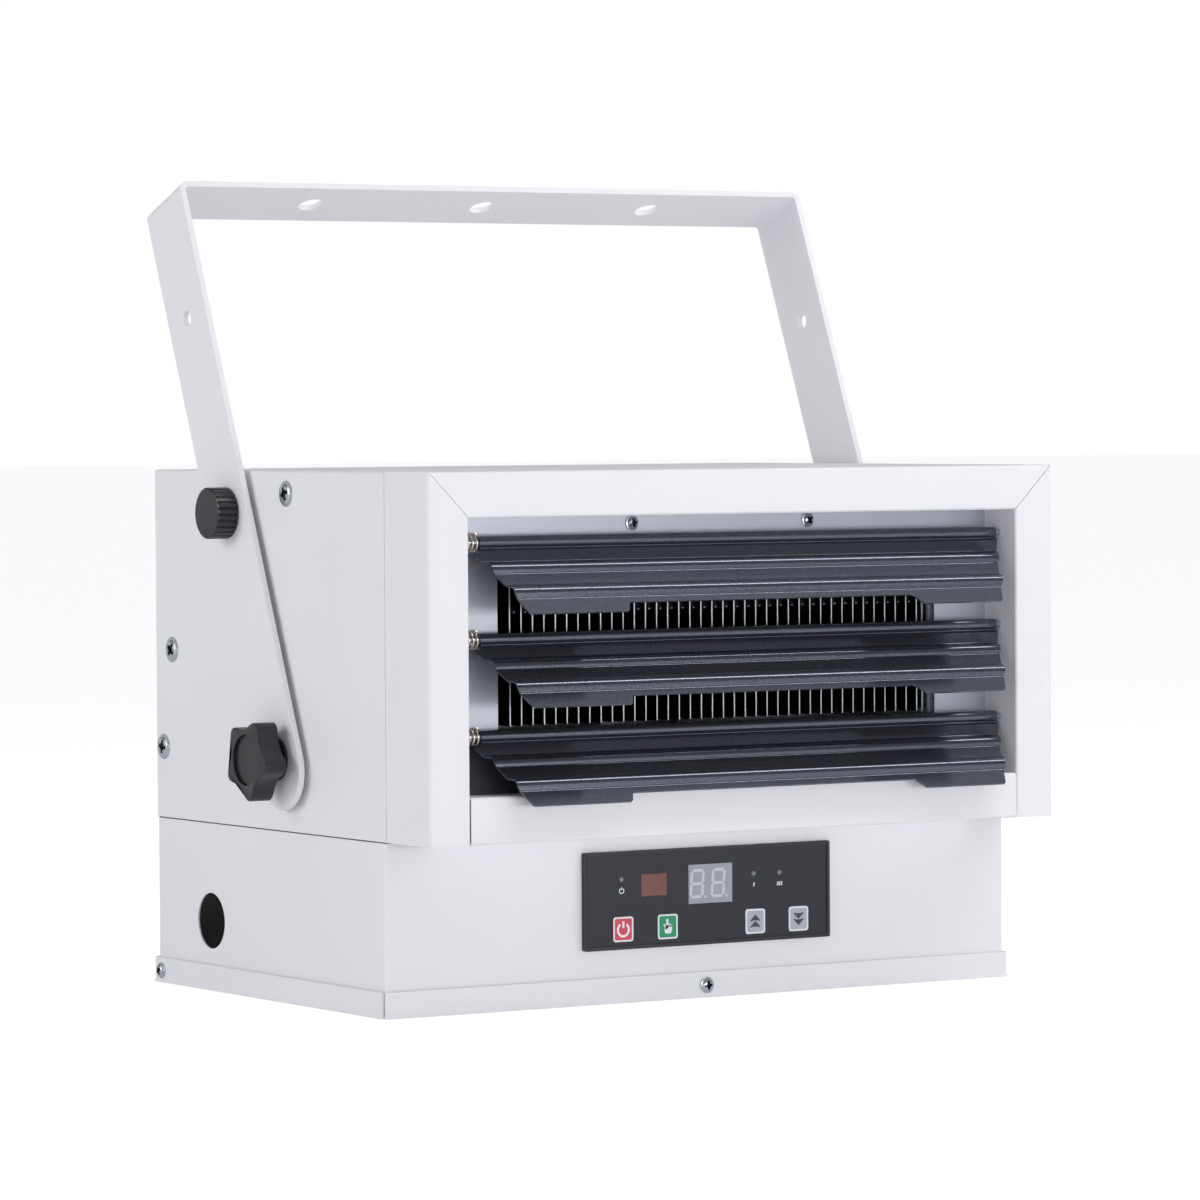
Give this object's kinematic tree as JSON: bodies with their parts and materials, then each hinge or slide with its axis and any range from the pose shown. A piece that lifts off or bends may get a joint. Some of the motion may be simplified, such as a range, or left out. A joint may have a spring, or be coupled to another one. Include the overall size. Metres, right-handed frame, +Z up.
{
  "type": "ceiling mounted fan heater",
  "caption": "Sheet metal fan heater in a tilting strip bracket for the ceiling, with adjustable louvres, a finned heating element, a rear fan and a control panel with push buttons.",
  "frame": {"origin": "centre of the middle ceiling hole, on the face of the bracket that lies against the ceiling", "axes": "+X to the right seen from the front, +Y to the back, +Z up for the heater in the pose of the picture; the bracket's strip leans back by 22.5 degrees from +Z, so its ceiling face is tilted by that angle"},
  "size_m": [0.4184, 0.296, 0.4138],
  "materials": {
    "white_paint": "satin powder coat",
    "grey_paint": "satin paint",
    "dark_paint": "fine textured paint",
    "black_paint": "satin paint",
    "knob_plastic": "fine grained moulding",
    "black_plastic": "satin moulding",
    "overlay_plastic": "satin printed film",
    "zinc_steel": "bright zinc plate",
    "spring_steel": "drawn wire",
    "fin_aluminium": "mill finish sheet",
    "tube_steel": "drawn tube",
    "fan_aluminium": "pressed sheet",
    "motor_steel": "satin paint",
    "display_plastic": "smooth",
    "receiver_plastic": "smooth, dark red",
    "lens_plastic": "smooth",
    "red_plastic": "satin moulding",
    "green_plastic": "satin moulding",
    "grey_plastic": "satin moulding",
    "circuit_board": "solder resist",
    "light_plastic": "moulded",
    "blue_plastic": "moulded",
    "brass": "turned"
  },
  "bodies": {
    "bracket": {"mounting_bracket": "white_paint"},
    "heater": {"spacer_washers": "zinc_steel", "threaded_inserts": "zinc_steel", "index_screws": "zinc_steel", "frame_top_rail": "white_paint", "frame_left_stile": "white_paint", "frame_right_stile": "white_paint", "frame_bottom_rail": "white_paint", "upper_casing": "white_paint", "divider_plate": "grey_paint", "lower_casing": "white_paint", "bottom_cover": "white_paint", "cover_screws": "zinc_steel", "rear_panel": "white_paint", "rear_screws": "zinc_steel", "outlet_plate": "grey_paint", "plate_screws": "zinc_steel", "outlet_deflector": "black_paint", "hinge_pins": "zinc_steel", "louvre_springs": "spring_steel", "fin_pack": "fin_aluminium", "heater_tubes": "tube_steel", "element_brackets": "zinc_steel", "heat_shield": "fin_aluminium", "thermal_cutout": "black_plastic", "fan_shroud": "grey_paint", "fan_motor": "motor_steel", "motor_bracket": "zinc_steel", "control_bezel": "black_plastic", "control_overlay": "overlay_plastic", "display_window": "display_plastic", "receiver_window": "receiver_plastic", "indicator_lenses": "lens_plastic", "control_board": "circuit_board", "key_switches": "black_plastic", "display_module": "light_plastic", "heater_relays": "blue_plastic", "terminal_block": "light_plastic", "earth_lug": "brass"},
    "star_knob_left": {"star_knob_left": "knob_plastic"},
    "star_knob_right": {"star_knob_right": "knob_plastic"},
    "lock_knob_left": {"lock_knob_left": "knob_plastic"},
    "lock_knob_right": {"lock_knob_right": "knob_plastic"},
    "louvre_top": {"louvre_top": "dark_paint"},
    "louvre_middle": {"louvre_middle": "dark_paint"},
    "louvre_bottom": {"louvre_bottom": "dark_paint"},
    "fan": {"fan_blade": "fan_aluminium", "fan_nut": "zinc_steel", "motor_shaft": "tube_steel"},
    "power_button": {"power_button": "red_plastic"},
    "mode_button": {"mode_button": "green_plastic"},
    "up_button": {"up_button": "grey_plastic"},
    "down_button": {"down_button": "grey_plastic"}
  },
  "joints": [
    {"name": "bracket_tilt", "type": "hinge", "parent": "bracket", "child": "heater", "pos_m": [0, -0.11748, -0.28363], "axis": [1, 0, 0], "range_deg": [-22.5, 67.5]},
    {"name": "star_left_turn", "type": "hinge", "parent": "heater", "child": "star_knob_left", "pos_m": [-0.185, -0.11748, -0.28363], "axis": [-1, 0, 0], "continuous": true},
    {"name": "star_right_turn", "type": "hinge", "parent": "heater", "child": "star_knob_right", "pos_m": [0.185, -0.11748, -0.28363], "axis": [1, 0, 0], "continuous": true},
    {"name": "lock_left_turn", "type": "hinge", "parent": "bracket", "child": "lock_knob_left", "pos_m": [-0.1911, -0.06697, -0.16168], "axis": [-1, 0, 0], "continuous": true},
    {"name": "lock_right_turn", "type": "hinge", "parent": "bracket", "child": "lock_knob_right", "pos_m": [0.1911, -0.06697, -0.16168], "axis": [1, 0, 0], "continuous": true},
    {"name": "louvre_top_swing", "type": "hinge", "parent": "heater", "child": "louvre_top", "pos_m": [0, -0.24198, -0.17453], "axis": [-1, 0, 0], "range_deg": [-40, 49.6]},
    {"name": "louvre_middle_swing", "type": "hinge", "parent": "heater", "child": "louvre_middle", "pos_m": [0, -0.24198, -0.22158], "axis": [-1, 0, 0], "range_deg": [-42, 45.3]},
    {"name": "louvre_bottom_swing", "type": "hinge", "parent": "heater", "child": "louvre_bottom", "pos_m": [0, -0.24198, -0.26863], "axis": [-1, 0, 0], "range_deg": [-10, 46.2]},
    {"name": "fan_spin", "type": "hinge", "parent": "heater", "child": "fan", "pos_m": [0, -0.11748, -0.23013], "axis": [0, 1, 0], "continuous": true},
    {"name": "power_press", "type": "slide", "parent": "heater", "child": "power_button", "axis": [0, 1, 0], "range_m": [0, 0.0005], "stiffness_N_per_m": 1000},
    {"name": "mode_press", "type": "slide", "parent": "heater", "child": "mode_button", "axis": [0, 1, 0], "range_m": [0, 0.0005], "stiffness_N_per_m": 1000},
    {"name": "up_press", "type": "slide", "parent": "heater", "child": "up_button", "axis": [0, 1, 0], "range_m": [0, 0.0005], "stiffness_N_per_m": 1000},
    {"name": "down_press", "type": "slide", "parent": "heater", "child": "down_button", "axis": [0, 1, 0], "range_m": [0, 0.0005], "stiffness_N_per_m": 1000}
  ]
}
